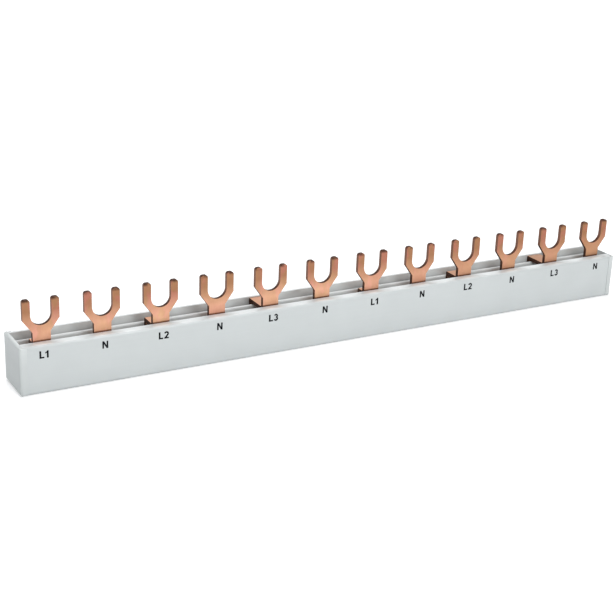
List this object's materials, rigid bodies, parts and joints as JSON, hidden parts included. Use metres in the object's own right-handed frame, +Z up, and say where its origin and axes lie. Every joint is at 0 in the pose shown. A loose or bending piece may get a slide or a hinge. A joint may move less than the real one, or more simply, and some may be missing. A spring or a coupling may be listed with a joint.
{
  "type": "comb busbar",
  "caption": "Four-pole comb busbar: an open light grey plastic rail holding flat copper bars with upright fork terminals in one row, closed by end caps.",
  "frame": {"origin": "middle of the base", "axes": "+X along the row of forks, -Y out of the front face, +Z up along the forks"},
  "size_m": [0.211, 0.0146, 0.0271],
  "materials": {
    "rail_plastic": "smooth extruded light grey plastic with a soft sheen",
    "cap_plastic": "fine moulded light grey plastic",
    "copper": "bright rolled copper sheet with sheared edges"
  },
  "bodies": {
    "root": {"housing": "rail_plastic", "left_end_cap": "cap_plastic", "right_end_cap": "cap_plastic", "neutral_bar": "copper", "phase_1_bar": "copper", "phase_2_bar": "copper", "phase_3_bar": "copper"}
  },
  "joints": []
}
